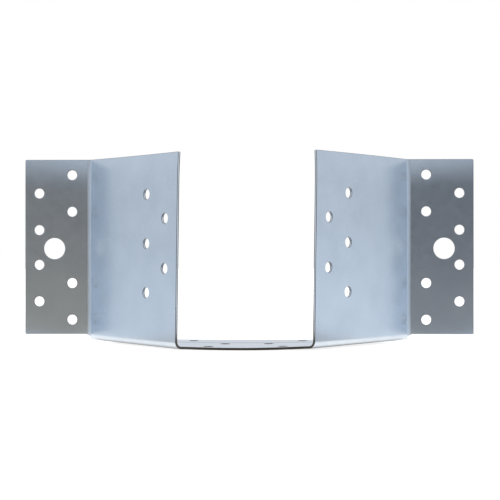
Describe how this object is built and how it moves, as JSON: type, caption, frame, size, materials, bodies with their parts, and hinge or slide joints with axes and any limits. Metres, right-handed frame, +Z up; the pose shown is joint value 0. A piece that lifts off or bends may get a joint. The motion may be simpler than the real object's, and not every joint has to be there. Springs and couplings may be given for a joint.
{
  "type": "angled joist hanger",
  "caption": "Folded galvanised steel joist hanger with splayed side plates, a trapezoid seat, and flanges for nails and bolts.",
  "frame": {"origin": "middle of the part's length and depth, at the underside of the seat", "axes": "+X to the right along the header, +Y into the header beam, +Z up"},
  "size_m": [0.232, 0.0602, 0.0942],
  "materials": {
    "galvanised_steel": "hot-dip galvanised sheet, satin, with bare cut edges"
  },
  "bodies": {
    "root": {"joist_hanger": "galvanised_steel"}
  },
  "joints": []
}
